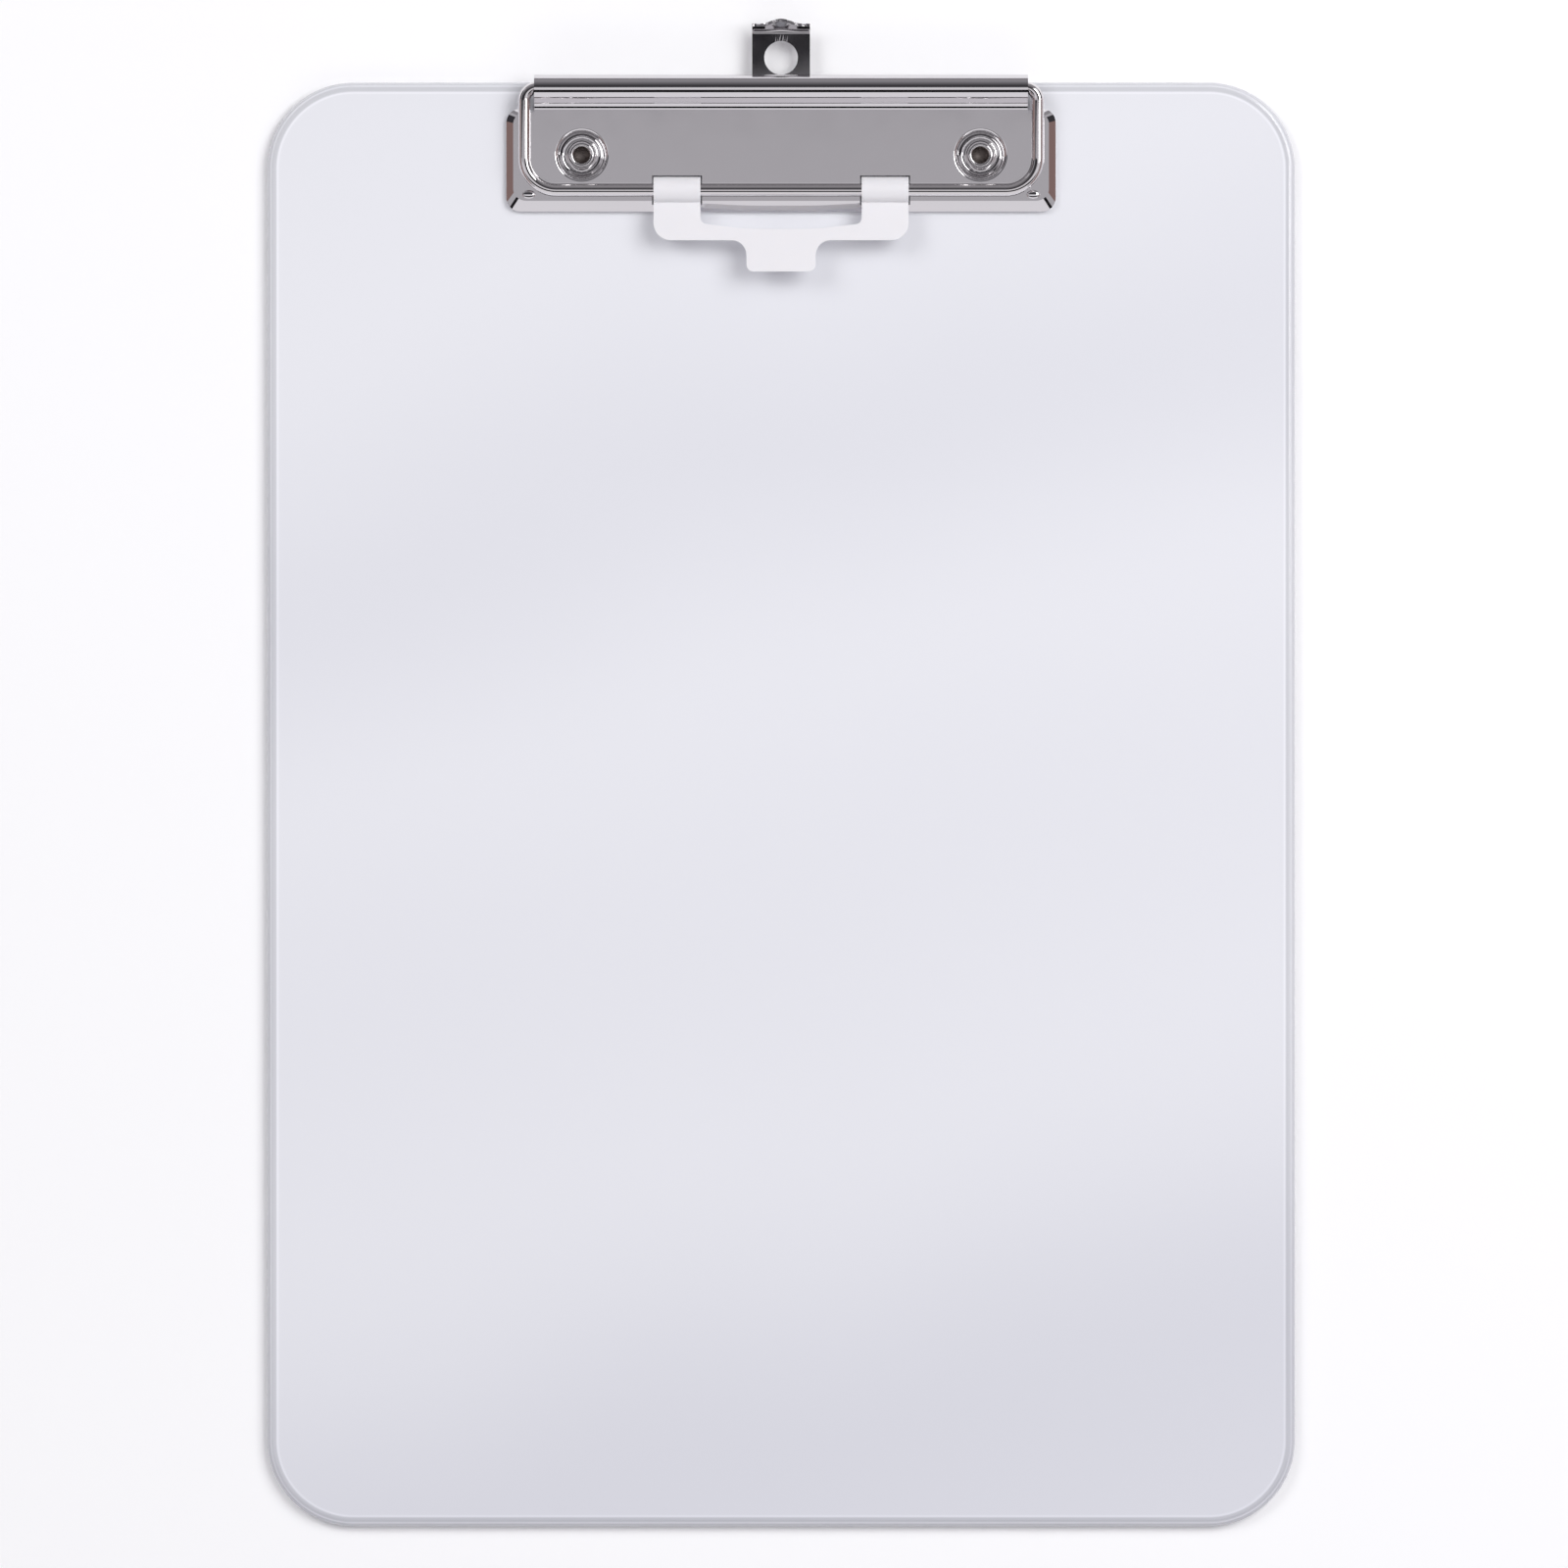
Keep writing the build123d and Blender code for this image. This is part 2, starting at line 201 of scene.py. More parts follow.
class StageSettings(bpy.types.PropertyGroup):
    camera_height: FloatProperty(
        name="Camera height", description="Height of the camera over the table", default=3.5, unit="LENGTH"
    )
    view_width: length("View width", "Width of the table that the camera sees", 345.0)
    view_x: length("View X", "Middle of the view across the board", 0.65)
    view_y: length("View Y", "Middle of the view along the board", 4.5)
    paper: colour("Floor", "Colour of the floor", "FBFBFC")


# ---- working with shapes

def box_shape(low, high):
    bm = bmesh.new()
    low, high = Vector(low), Vector(high)
    bmesh.ops.create_cube(bm, size=1)
    bmesh.ops.scale(bm, vec=high - low, verts=bm.verts)
    bmesh.ops.translate(bm, vec=(low + high) / 2, verts=bm.verts)
    return bm


def round_edges(bm, edges, radius, segments):
    bmesh.ops.bevel(
        bm, geom=edges, offset=radius, offset_type="OFFSET", segments=segments, profile=0.5,
        affect="EDGES", material=-1, clamp_overlap=True,
    )


def upright_edges(bm, keep=lambda point: True):
    """Edges that run along Z and start at a point that passes the test."""
    found = []
    for edge in bm.edges:
        run = edge.verts[1].co - edge.verts[0].co
        if abs(run.z) > TOUCH and run.xy.length < TOUCH and keep(edge.verts[0].co):
            found.append(edge)
    return found


def edges_at(bm, z):
    return [edge for edge in bm.edges if all(abs(vert.co.z - z) < TOUCH for vert in edge.verts)]


def round_post(radius, centre, low_z, high_z, top_radius=None):
    """A post, or a cone when its top has its own radius."""
    bm = bmesh.new()
    bmesh.ops.create_cone(
        bm, cap_ends=True, segments=96, radius1=radius,
        radius2=radius if top_radius is None else top_radius, depth=high_z - low_z,
    )
    bmesh.ops.translate(bm, vec=(centre[0], centre[1], (low_z + high_z) / 2), verts=bm.verts)
    return bm


def push_end(bm, end, step):
    """Extrudes an end face by step and returns the new end."""
    result = bmesh.ops.extrude_face_region(bm, geom=[end])["geom"]
    bmesh.ops.translate(bm, vec=step, verts=[e for e in result if isinstance(e, bmesh.types.BMVert)])
    return next(e for e in result if isinstance(e, bmesh.types.BMFace))


def turn_end(bm, end, centre, axis, angle):
    """Spins an end face about an axis, a step every few degrees, and returns the new end."""
    result = bmesh.ops.spin(
        bm, geom=[end, *end.edges, *end.verts], cent=centre, axis=axis, dvec=(0, 0, 0),
        angle=angle, steps=max(3, round(abs(math.degrees(angle)) / 5)), use_duplicate=False,
    )
    return next(e for e in result["geom_last"] if isinstance(e, bmesh.types.BMFace))


def scale_end(bm, end, factors):
    bmesh.ops.scale(
        bm, vec=factors, space=Matrix.Translation(-end.calc_center_median()), verts=end.verts
    )


def drop_inner_faces(bm):
    """Removes the faces that extruding and spinning an end leave inside a shape."""
    inner = [face for face in bm.faces if all(len(edge.link_faces) > 2 for edge in face.edges)]
    bmesh.ops.delete(bm, geom=inner, context="FACES_ONLY")


def bent_strip(half_width, start, heading, runs, thickness):
    """A bent strip of sheet. A run is (length, 0), or (middle radius, turn in degrees)."""
    bm = bmesh.new()
    here = Vector((0, *start))
    ahead = Matrix.Rotation(math.radians(heading), 3, "X") @ Vector((0, 1, 0))
    lift = ACROSS.cross(ahead) * thickness / 2
    corners = [(-1, -1), (1, -1), (1, 1), (-1, 1)]
    end = bm.faces.new([bm.verts.new(here + ACROSS * half_width * x + lift * z) for x, z in corners])
    for size, turn in runs:
        if turn == 0:
            end = push_end(bm, end, ahead * size)
            here = here + ahead * size
        else:
            angle = math.radians(turn)
            centre = here + ACROSS.cross(ahead) * math.copysign(size, turn)
            end = turn_end(bm, end, centre, ACROSS, angle)
            spin = Matrix.Rotation(angle, 3, "X")
            here = centre + spin @ (here - centre)
            ahead = spin @ ahead
    drop_inner_faces(bm)
    return bm


def spun_shape(profile, centre, steps=96):
    """A solid of revolution. Its profile of (radius, height) starts and ends on the axis."""
    bm = bmesh.new()
    verts = [bm.verts.new((radius, 0, height)) for radius, height in profile]
    edges = [bm.edges.new(pair) for pair in zip(verts, verts[1:])]
    bmesh.ops.spin(
        bm, geom=verts + edges, cent=(0, 0, 0), axis=UP, dvec=(0, 0, 0), angle=math.tau,
        steps=steps, use_merge=True, use_duplicate=False,
    )
    bmesh.ops.remove_doubles(bm, verts=bm.verts, dist=TOUCH)
    bmesh.ops.translate(bm, vec=centre, verts=bm.verts)
    return bm


def as_solid(bm):
    drop_inner_faces(bm)
    bmesh.ops.recalc_face_normals(bm, faces=bm.faces)
    mesh = bpy.data.meshes.new("solid")
    bm.to_mesh(mesh)
    bm.free()
    solid = bpy.data.objects.new("solid", mesh)
    bpy.context.scene.collection.objects.link(solid)
    return solid


def combine(solid, operation, shapes):
    """Unites shapes with a solid or cuts them from it, and returns the same solid."""
    tools = [as_solid(shape) for shape in shapes]
    for tool in tools:
        modifier = solid.modifiers.new("combine", "BOOLEAN")
        modifier.operation = operation
        modifier.solver = "EXACT"
        modifier.object = tool
    depsgraph = bpy.context.evaluated_depsgraph_get()
    combined = bpy.data.meshes.new_from_object(solid.evaluated_get(depsgraph))
    solid.modifiers.clear()
    solid.data = combined
    for tool in tools:
        bpy.data.objects.remove(tool)
    return solid


def finish_piece(solid, name, body, node, material, edge_round=0.0):
    """Names a solid, softens its edges, gives it its material and sets it on its body."""
    solid.name = name
    solid.data.name = name
    solid.data.materials.clear()
    solid.data.materials.append(material)
    solid.data.shade_smooth()
    if edge_round:
        bevel = solid.modifiers.new("soft_edges", "BEVEL")
        bevel.width = edge_round
        bevel.segments = 3
        bevel.limit_method = "ANGLE"
        bevel.angle_limit = math.radians(SOFTENED_ANGLE)
        bevel.harden_normals = True
    weighted = solid.modifiers.new("flat_faces", "WEIGHTED_NORMAL")
    weighted.weight = FLAT_FACE_WEIGHT
    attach(solid, body)
    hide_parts(node)
    return solid


# ---- materials

def add_node(tree, kind, settings=None, links=None):
    """Adds a node, sets its sockets or properties, and links its sockets to others' outputs."""
    node = tree.nodes.new(kind)
    for name, value in (settings or {}).items():
        if isinstance(name, int) or name in node.inputs:
            node.inputs[name].default_value = value
        else:
            setattr(node, name, value)
    for name, source in (links or {}).items():
        tree.links.new(source, node.inputs[name])
    return node


def new_material(name):
    material = bpy.data.materials.new(name)
    material.use_nodes = True
    material.node_tree.nodes.clear()
    return material, material.node_tree


def set_surface(tree, shader):
    add_node(tree, "ShaderNodeOutputMaterial", links={"Surface": shader.outputs[0]})


def object_place(tree):
    return add_node(tree, "ShaderNodeTexCoord").outputs["Object"]


def noise(tree, place, size, detail=2.0):
    """Noise whose features are about size metres across."""
    settings = {"Scale": 1 / size, "Detail": detail}
    return add_node(tree, "ShaderNodeTexNoise", settings, {"Vector": place}).outputs["Fac"]


def map_range(tree, value, low, high, to_low, to_high):
    settings = {"From Min": low, "From Max": high, "To Min": to_low, "To Max": to_high}
    return add_node(tree, "ShaderNodeMapRange", settings, {"Value": value}).outputs["Result"]


def bump(tree, height, depth):
    return add_node(
        tree, "ShaderNodeBump", {"Distance": depth, "Strength": 1.0}, {"Height": height}
    ).outputs["Normal"]


def set_ramp(ramp, stops, interpolation="LINEAR"):
    """Gives a colour ramp its stops, each a position and a colour."""
    elements = ramp.color_ramp.elements
    while len(elements) < len(stops):
        elements.new(1.0)
    for element, (position, tone) in zip(elements, stops):
        element.position = position
        element.color = tone
    ramp.color_ramp.interpolation = interpolation


def bright_nickel(name, tint, roughness, ripple=0.012 * MM):
    """Electroplated nickel on rolled steel: mirror-sharp reflections with the faintest bloom of
    polishing haze, and a long shallow ripple that makes reflected lines wander."""
    material, tree = new_material(name)
    place = object_place(tree)
    haze = noise(tree, place, 6 * MM, 1)
    wave = noise(tree, place, 22 * MM, 0)
    shader = add_node(
        tree, "ShaderNodeBsdfPrincipled", {"Base Color": tint, "Metallic": 1.0},
        {
            "Roughness": map_range(tree, haze, 0.3, 0.7, roughness * 0.85, roughness * 1.2),
            "Normal": bump(tree, wave, ripple),
        },
    )
    set_surface(tree, shader)
    return material


def rivet_nickel(settings):
    """Barrel-plated tubular rivet: bright on the rolled flange, dull and dark down its bore,
    where the plating bath hardly reaches."""
    material, tree = new_material("nickel_plated_tubular_rivet")
    place = object_place(tree)
    parts = add_node(tree, "ShaderNodeSeparateXYZ", links={"Vector": place})
    bright_from = RIVET_HIGH.z - 1.3 * MM
    dull_from = bright_from - 0.6 * MM
    head_bright_to, head_dull_from = 1.0 * MM, 1.2 * MM
    depth = map_range(tree, parts.outputs["Z"], dull_from, bright_from, 0, 1)
    back = map_range(tree, parts.outputs["Z"], head_bright_to, head_dull_from, 1, 0)
    plated = add_node(tree, "ShaderNodeMath", {"operation": "MAXIMUM"}, {0: depth, 1: back})
    tint = add_node(
        tree, "ShaderNodeMix", {"data_type": "RGBA", 6: settings.bore_tone, 7: settings.plating},
        {"Factor": plated.outputs[0]},
    )
    haze = noise(tree, place, 0.9 * MM, 4)
    polished = map_range(tree, haze, 0.3, 0.7, 0.03, 0.06)
    dull = map_range(tree, haze, 0.3, 0.7, 0.55, 0.7)
    roughness = add_node(
        tree, "ShaderNodeMix", {"data_type": "FLOAT"}, {"Factor": plated.outputs[0], 2: dull, 3: polished}
    )
    shader = add_node(
        tree, "ShaderNodeBsdfPrincipled", {"Metallic": 1.0},
        {"Base Color": tint.outputs[2], "Roughness": roughness.outputs[0]},
    )
    set_surface(tree, shader)
    return material


def tempered_strip(settings):
    """Blue-tempered spring strip: fine rolling lines along its length and straw-coloured patches."""
    material, tree = new_material("tempered_spring_steel")
    place = object_place(tree)
    # Rolling lines are about 0.05 mm apart; they are drawn 0.25 mm apart so that they show.
    stretched = add_node(tree, "ShaderNodeMapping", {"Scale": (1, 0.04, 1)}, {"Vector": place})
    lines = noise(tree, stretched.outputs["Vector"], 0.25 * MM, 3)
    patches = noise(tree, place, 5 * MM)
    tint = add_node(
        tree, "ShaderNodeMix", {"data_type": "RGBA", 6: settings.steel, 7: settings.temper},
        {"Factor": patches},
    )
    shader = add_node(
        tree, "ShaderNodeBsdfPrincipled", {"Metallic": 1.0},
        {
            "Base Color": tint.outputs[2],
            "Roughness": map_range(tree, lines, 0.3, 0.7, 0.25, 0.42),
            "Normal": bump(tree, lines, 0.004 * MM),
        },
    )
    set_surface(tree, shader)
    return material


def edge_distance(tree, place, corner):
    """How far inside the board's rounded outline a point is, in metres."""
    half = (BOARD_HIGH - BOARD_LOW) / 2
    middle = (BOARD_HIGH + BOARD_LOW) / 2
    centred = add_node(
        tree, "ShaderNodeVectorMath", {"operation": "SUBTRACT", 1: (middle.x, middle.y, 0)}, {0: place}
    )
    folded = add_node(tree, "ShaderNodeVectorMath", {"operation": "ABSOLUTE"}, {0: centred.outputs[0]})
    past = add_node(
        tree, "ShaderNodeVectorMath",
        {"operation": "SUBTRACT", 1: (half.x - corner, half.y - corner, 1)}, {0: folded.outputs[0]},
    )
    outside = add_node(
        tree, "ShaderNodeVectorMath", {"operation": "MAXIMUM", 1: (0, 0, 0)}, {0: past.outputs[0]}
    )
    reach = add_node(tree, "ShaderNodeVectorMath", {"operation": "LENGTH"}, {0: outside.outputs[0]})
    return add_node(
        tree, "ShaderNodeMath", {"operation": "SUBTRACT", 0: corner}, {1: reach.outputs["Value"]}
    ).outputs[0]


def clear_polystyrene(settings):
    """Injection-moulded polystyrene sheet: a faint violet cast, a wet gloss with long flow waves,
    slanted bands of painted reflection and painted shade, and a rim painted with fine pale highlight lines
    and grey shade lines."""
    material, tree = new_material("clear_moulded_polystyrene")
    place = object_place(tree)
    inside = edge_distance(tree, place, settings.corner)
    rim_reach = 1.5 * settings.edge_line
    gathered_light = 1.12
    share = map_range(tree, inside, 0, rim_reach, 0, 1)
    ramp = add_node(tree, "ShaderNodeValToRGB", links={"Fac": share})
    bright = tuple(min(1.0, channel * gathered_light) for channel in settings.body[:3]) + (1.0,)
    # The rim's ramp is painted light: its grey edge stops are painted shade lines and its bright stop is a
    # painted highlight line.
    stops = [
        (0.0, settings.edge), (0.16, settings.edge), (0.24, settings.body), (0.32, settings.edge),
        (0.54, settings.edge), (0.66, bright), (0.78, settings.body),
    ]
    set_ramp(ramp, stops)
    flow = noise(tree, place, 90 * MM, 1)
    # Long soft bands across the sheet at a slant are painted reflections of the soft lights, over painted
    # shade that deepens towards the end away from the clip. Each band is its distance up the slanted axis
    # from the board's middle, and how deep its painted shade is.
    slant = add_node(
        tree, "ShaderNodeMapping",
        {"vector_type": "TEXTURE", "Rotation": (0, 0, math.radians(15))}, {"Vector": place},
    )
    up_slant = add_node(tree, "ShaderNodeSeparateXYZ", links={"Vector": slant.outputs["Vector"]})
    wander = map_range(tree, noise(tree, place, 120 * MM, 1), 0.3, 0.7, -7 * MM, 7 * MM)
    height = add_node(tree, "ShaderNodeMath", {"operation": "ADD"}, {0: up_slant.outputs["Y"], 1: wander})
    # Painted reflection bands and painted shade: place up the slant in mm, and how deep the painted shade
    # is there.
    bands = (
        (-172, 0.85), (-140, 0.95), (-118, 0.75), (-98, 0.45), (-73, 0.2), (-48, 0.25), (-23, 0.32),
        (0, 0.25), (27, 0.08), (53, 0.35), (77, 0.52), (105, 0.18), (130, 0.0),
    )
    lowest, highest = bands[0][0], bands[-1][0]
    climb = map_range(tree, height.outputs[0], lowest * MM, highest * MM, 0, 1)
    band_ramp = add_node(tree, "ShaderNodeValToRGB", links={"Fac": climb})
    set_ramp(band_ramp, [((place_mm - lowest) / (highest - lowest), (painted_shade, painted_shade, painted_shade, 1))
                         for place_mm, painted_shade in bands], "B_SPLINE")
    # Tints the sheet with the painted reflection bands and the painted shade.
    cast = add_node(
        tree, "ShaderNodeMix",
        {"data_type": "RGBA", "clamp_factor": True, 6: (1, 1, 1, 1),
         7: tuple(settings.shade[i] / settings.body[i] for i in range(3)) + (1.0,)},
        {"Factor": band_ramp.outputs["Color"]},
    )
    toned = add_node(
        tree, "ShaderNodeMix", {"data_type": "RGBA", "blend_type": "MULTIPLY", "Factor": 1.0},
        {6: ramp.outputs["Color"], 7: cast.outputs[2]},
    )
    shader = add_node(
        tree, "ShaderNodeBsdfPrincipled",
        {
            "IOR": 1.59,
            "Coat Weight": 0.4,
            "Coat Roughness": 0.05,
        },
        {
            "Base Color": toned.outputs[2],
            "Roughness": map_range(tree, flow, 0.3, 0.7, 0.14, 0.24),
            "Normal": bump(tree, flow, 0.03 * MM),
        },
    )
    set_surface(tree, shader)
    return material


def white_polypropylene(settings):
    """Moulded polypropylene: milky, softly lit from within, with the fine spark-eroded grain
    of its tool taking the edge off the gloss."""
    material, tree = new_material("white_moulded_polypropylene")
    place = object_place(tree)
    # The tool's grain is about 0.03 mm; it is drawn at 0.2 mm so that it shows.
    grain = noise(tree, place, 0.2 * MM, 3)
    shader = add_node(
        tree, "ShaderNodeBsdfPrincipled",
        {
            "Base Color": settings.plastic,
            "IOR": 1.49,
            "Subsurface Weight": 0.3,
            "Subsurface Radius": (1.0, 0.95, 0.9),
            "Subsurface Scale": 1.2 * MM,
        },
        {
            "Roughness": map_range(tree, grain, 0.3, 0.7, 0.34, 0.48),
            "Normal": bump(tree, grain, 0.004 * MM),
        },
    )
    set_surface(tree, shader)
    return material


def matt_paper(tint):
    """Seamless background paper: matt, with a barely visible tooth."""
    material, tree = new_material("seamless_paper")
    tooth = noise(tree, object_place(tree), 0.8 * MM)
    shader = add_node(
        tree, "ShaderNodeBsdfPrincipled",
        {"Base Color": tint, "Roughness": 0.9, "Specular IOR Level": 0.1},
        {"Normal": bump(tree, tooth, 0.01 * MM)},
    )
    set_surface(tree, shader)
    return material


def flag_cloth(name, tint):
    """A studio flag or reflector as the plating sees it: an even tone."""
    material, tree = new_material(name)
    set_surface(tree, add_node(tree, "ShaderNodeEmission", {"Color": tint, "Strength": 1.0}))
    return material


# ---- shapes of the pieces

def board_solid(settings):
    bm = box_shape(BOARD_LOW, BOARD_HIGH)
    round_edges(bm, upright_edges(bm), settings.corner, 28)
    round_edges(bm, edges_at(bm, BOARD_HIGH.z), settings.front_round, 7)
    round_edges(bm, edges_at(bm, BOARD_LOW.z), settings.back_round, 4)
    cutters = []
    for _, side in SIDES:
        centre = (side * RIVET.x, RIVET.y)
        cutters.append(round_post(settings.shank_hole, centre, -MM, BOARD_HIGH.z + MM))
        cutters.append(round_post(settings.head_recess, centre, -MM, settings.recess_depth))
    return combine(as_solid(bm), "DIFFERENCE", cutters)


def pan_block(settings, inset):
    """The pan as a block: an upright rim, then the slopes up to the deck."""
    low_y = PLATE_LOW.y + inset
    high_y = HINGE.y - settings.ear_setback - inset
    half = PLATE_HIGH.x - inset
    base_z = BOARD_HIGH.z - (MM if inset else 0)
    bm = box_shape((-half, low_y, base_z), (half, high_y, BOARD_HIGH.z + settings.rim - inset / 2))
    round_edges(bm, upright_edges(bm), settings.corner - inset / 2, 8)
    top = max(bm.faces, key=lambda face: face.calc_center_median().z)
    top = push_end(bm, top, UP * (DECK_TOP - inset - top.calc_center_median().z))
    span = high_y - low_y
    factors = (
        (half - settings.side_bevel) / half,
        (span - settings.front_bevel - settings.rear_bevel) / span,
        1,
    )
    scale_end(bm, top, factors)
    shift = (settings.front_bevel - settings.rear_bevel) / 2
    bmesh.ops.translate(bm, vec=(0, shift, 0), verts=top.verts)
    return bm


def plateau_block(settings, inset, low_z, rear_y, high_z):
    """The raised middle; its front corners follow the inside of the bail's bends."""
    barrel_half = ARM_X - WIRE_RADIUS - settings.barrel_gap
    front_y = ROD.y + WIRE_RADIUS + settings.plateau_gap + inset
    half = barrel_half - inset
    bm = box_shape((-half, front_y, low_z), (half, rear_y, high_z))
    bend = bpy.context.scene.clipboard_bail.front_bend
    corner = bend - (ARM_X - barrel_half) - inset
    middle_y = (front_y + rear_y) / 2
    round_edges(bm, upright_edges(bm, lambda point: point.y < middle_y), corner, 12)
    return bm


def barrel_strip(settings, plateau_top):
    """The plateau's rear end, the neck bend and the rolled barrel, as one strip."""
    neck_angle = 68.0
    sweep = 283.0
    middle_z = plateau_top - settings.sheet / 2
    neck_radius = 2.4 * MM
    lap = 1.3 * MM
    roll_radius = settings.barrel_bore + settings.sheet / 2
    sine = math.sin(math.radians(neck_angle))
    cosine = math.cos(math.radians(neck_angle))
    rise = HINGE.z + roll_radius * cosine - middle_z - neck_radius * (1 - cosine)
    neck_run = rise / sine
    bend_y = HINGE.y - roll_radius * sine - neck_run * cosine - neck_radius * sine
    start_y = HINGE.y - settings.ear_setback - lap
    runs = [(bend_y - start_y, 0), (neck_radius, neck_angle), (neck_run, 0), (roll_radius, -sweep)]
    half_width = ARM_X - WIRE_RADIUS - settings.barrel_gap
    return bent_strip(half_width, (start_y, middle_z), 0, runs, settings.sheet)


def pip_dome(settings, side):
    """One pressed pip beside a front corner of the bail."""
    bm = bmesh.new()
    bmesh.ops.create_uvsphere(bm, u_segments=32, v_segments=16, radius=settings.pip)
    wide, deep = 1.2, 0.8
    from_arm, from_rod = 1.0 * MM, 0.95 * MM
    bmesh.ops.scale(bm, vec=(wide, deep, settings.pip_rise / settings.pip), verts=bm.verts)
    place = (side * (ARM_X - from_arm), ROD.y - from_rod, DECK_TOP)
    bmesh.ops.translate(bm, vec=place, verts=bm.verts)
    return bm


def dimple_well(settings, centre, floor_z, top_z):
    """The space in a rivet's dimple and hole. Its wall eases out of the plateau and into its floor."""
    steps = 16
    skim = 0.01 * MM
    top_ease, floor_ease = 0.18 * MM, 0.3 * MM
    flare = settings.dimple + top_ease
    foot = settings.dimple_floor - floor_ease
    profile = [(0, top_z + settings.sheet), (flare, top_z + settings.sheet)]
    for step in range(steps + 1):
        share = step / steps
        radius = flare + (foot - flare) * share
        ease = share * share * (3 - 2 * share)
        profile.append((radius, top_z + skim + (floor_z - top_z - skim) * ease))
    below = floor_z - 2 * settings.sheet
    profile.extend([(settings.rivet_hole, floor_z), (settings.rivet_hole, below), (0, below)])
    return spun_shape(profile, (*centre, 0), 128)


def base_plate_solid(settings):
    sheet = settings.sheet
    plateau_top = DECK_TOP + settings.plateau_rise
    ear_rear = HINGE.y - settings.ear_setback
    plate = as_solid(pan_block(settings, 0))
    combine(plate, "UNION", [plateau_block(settings, 0, DECK_TOP - sheet, ear_rear, plateau_top)])
    hollows = [
        pan_block(settings, sheet),
        plateau_block(settings, sheet, BOARD_HIGH.z - MM, ear_rear + MM, plateau_top - sheet),
    ]
    combine(plate, "DIFFERENCE", hollows)
    crown_over_floor = 1.075 * MM
    floor_z = RIVET_HIGH.z - crown_over_floor
    rivets = [(side * RIVET.x, RIVET.y) for _, side in SIDES]
    cups = [
        round_post(settings.dimple_floor + sheet, centre, floor_z - sheet, plateau_top - sheet / 2,
                   settings.dimple + sheet)
        for centre in rivets
    ]
    pips = [pip_dome(settings, side) for _, side in SIDES]
    hanger = bpy.context.scene.clipboard_hanger
    stop_y = HANGER_LOW.y + hanger.tail_length + STOP_GAP
    stops = []
    for _, side in SIDES:
        inner, outer = sorted((side * (hanger.half_width + STOP_SIDE_GAP), side * HANGER_HIGH.x))
        stops.append(box_shape(
            (inner, stop_y, HANGER_LOW.z), (outer, stop_y + sheet, plateau_top - sheet / 2)
        ))
    combine(plate, "UNION", [barrel_strip(settings, plateau_top), *cups, *pips, *stops])
    wells = [dimple_well(settings, centre, floor_z, plateau_top) for centre in rivets]
    tab = bpy.context.scene.clipboard_lift_tab
    reach = tab.wrap + WINDOW_GAP
    windows = []
    for _, side in SIDES:
        centre_x = side * (TAB_HIGH.x - tab.leg / 2)
        half = tab.leg / 2 + WINDOW_GAP
        windows.append(box_shape(
            (centre_x - half, ROD.y - reach, BOARD_HIGH.z - MM), (centre_x + half, ROD.y + reach, HINGE.z)
        ))
    return combine(plate, "DIFFERENCE", wells + windows)


def bail_solid(settings):
    """One length of round wire, from paddle to paddle, bent left each time."""
    bm = bmesh.new()
    bmesh.ops.create_circle(bm, cap_ends=True, segments=40, radius=WIRE_RADIUS)
    end = bm.faces[:][0]
    bmesh.ops.rotate(bm, matrix=Matrix.Rotation(math.pi / 2, 3, "Y"), verts=bm.verts)
    flat = Vector((1, settings.paddle_radius / WIRE_RADIUS, settings.paddle_half / WIRE_RADIUS))
    bmesh.ops.scale(bm, vec=flat, verts=bm.verts)
    paddle = settings.paddle_length
    inner_x = RIVET.x + paddle / 2
    shoulder = 1.6 * MM
    bmesh.ops.translate(bm, vec=(paddle - inner_x, HINGE.y, HINGE.z), verts=bm.verts)
    rounded = (1, 1 / flat.y, 1 / flat.z)
    end = push_end(bm, end, -ACROSS * paddle)
    end = push_end(bm, end, -ACROSS * shoulder)
    scale_end(bm, end, rounded)
    along = ARM_X - settings.rear_bend - inner_x - shoulder
    end = push_end(bm, end, -ACROSS * along)
    heading = -ACROSS
    arm = HINGE.y - ROD.y - settings.rear_bend - settings.front_bend
    rod = 2 * (ARM_X - settings.front_bend)
    bends = [settings.rear_bend, settings.front_bend, settings.front_bend, settings.rear_bend]
    for radius, run in zip(bends, (arm, rod, arm, along)):
        inward = UP.cross(heading)
        end = turn_end(bm, end, end.calc_center_median() + inward * radius, UP, math.pi / 2)
        heading = inward
        end = push_end(bm, end, heading * run)
    end = push_end(bm, end, heading * shoulder)
    scale_end(bm, end, flat)
    push_end(bm, end, heading * paddle)
    return as_solid(bm)


def rivet_solid(settings, side):
    low = RIVET_LOW.z
    head_top = low + settings.head_thickness
    crown_half = (settings.crown - settings.bore) / 2
    flange_top = RIVET_HIGH.z - crown_half
    flange_low = flange_top - settings.flange_thickness
    curl = []
    for step in range(13):
        angle = math.pi * step / 12
        radius = settings.bore + crown_half - crown_half * math.cos(angle)
        curl.append((radius, flange_top + crown_half * math.sin(angle)))
    edge = 0.18 * MM
    floor_thickness = 0.55 * MM
    bore_floor = head_top + floor_thickness
    head_radius = RIVET_HIGH.x - RIVET.x
    profile = [
        (0, bore_floor),
        (settings.bore, bore_floor),
        *curl,
        (settings.flange - edge, flange_top),
        (settings.flange, flange_top - edge),
        (settings.flange, flange_low + edge / 2),
        (settings.flange - edge / 2, flange_low),
        (settings.shank, flange_low),
        (settings.shank, head_top),
        (head_radius - edge / 2, head_top),
        (head_radius, head_top - edge / 2),
        (head_radius, low + 2 * edge),
        (head_radius - 2 * edge, low),
        (0, low),
    ]
    return as_solid(spun_shape(profile, (side * RIVET.x, RIVET.y, 0)))


